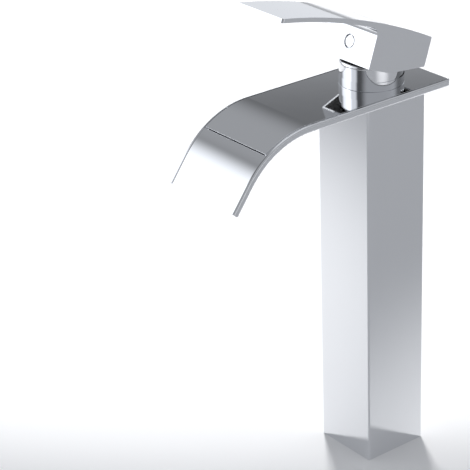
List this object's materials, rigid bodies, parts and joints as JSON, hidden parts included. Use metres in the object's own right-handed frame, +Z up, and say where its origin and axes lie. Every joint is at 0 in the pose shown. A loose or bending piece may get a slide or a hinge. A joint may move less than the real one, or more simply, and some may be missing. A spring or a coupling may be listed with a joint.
{
  "type": "basin faucet",
  "caption": "Tall single-lever basin faucet with a square column and a wide flat spout that bends down into an open tongue",
  "frame": {"origin": "centre of the column's foot, on the deck that the faucet stands on", "axes": "+Z up along the column, -Y along the spout and out of its lip, +X to the left hand of the spout's direction, hot on -X"},
  "size_m": [0.064, 0.1738, 0.3746],
  "materials": {
    "chrome": "polished chrome plate",
    "brass": "machined brass",
    "copper": "drawn copper tube",
    "steel": "plain stainless steel",
    "rubber": "moulded black rubber",
    "ceramic": "lapped white ceramic",
    "plastic": "moulded white plastic",
    "coupler": "moulded blue plastic"
  },
  "bodies": {
    "base": {"column": "chrome", "base_block": "brass", "deck_gasket": "rubber", "mounting_shank": "brass", "rubber_washer": "rubber", "steel_washer": "steel", "mounting_nut": "brass", "hot_tube": "copper", "cold_tube": "copper", "valve_body": "brass", "spout_gasket": "rubber", "spout_body": "chrome", "spout_cover": "chrome", "cartridge_sleeve": "chrome", "sleeve_cap": "chrome", "retaining_nut": "brass", "cartridge_shell": "plastic", "cartridge_base": "plastic", "port_seals": "rubber", "disc_seals": "rubber", "fixed_disc": "ceramic"},
    "swivel": {"stem_carrier": "plastic", "pivot_pin": "steel"},
    "disc": {"moving_disc": "ceramic", "disc_coupler": "coupler"},
    "lever": {"lever_stem": "steel", "lever": "chrome", "lever_screw": "steel", "lever_plug": "chrome"}
  },
  "joints": [
    {"name": "lever_swivel", "type": "hinge", "parent": "base", "child": "swivel", "pos_m": [0, 0, 0.26805], "axis": [0, 0, 1], "range_deg": [-45, 45]},
    {"name": "lever_lift", "type": "hinge", "parent": "swivel", "child": "lever", "pos_m": [0, 0, 0.26805], "axis": [-1, 0, 0], "range_deg": [-19, 6]},
    {"name": "disc_slide", "type": "slide", "parent": "swivel", "child": "disc", "axis": [0, -1, 0], "range_m": [-0.0043, 0.0014]}
  ],
  "couplings": [
    {"joint": "disc_slide", "follows": "lever_lift", "m_per_rad": 0.0127}
  ]
}
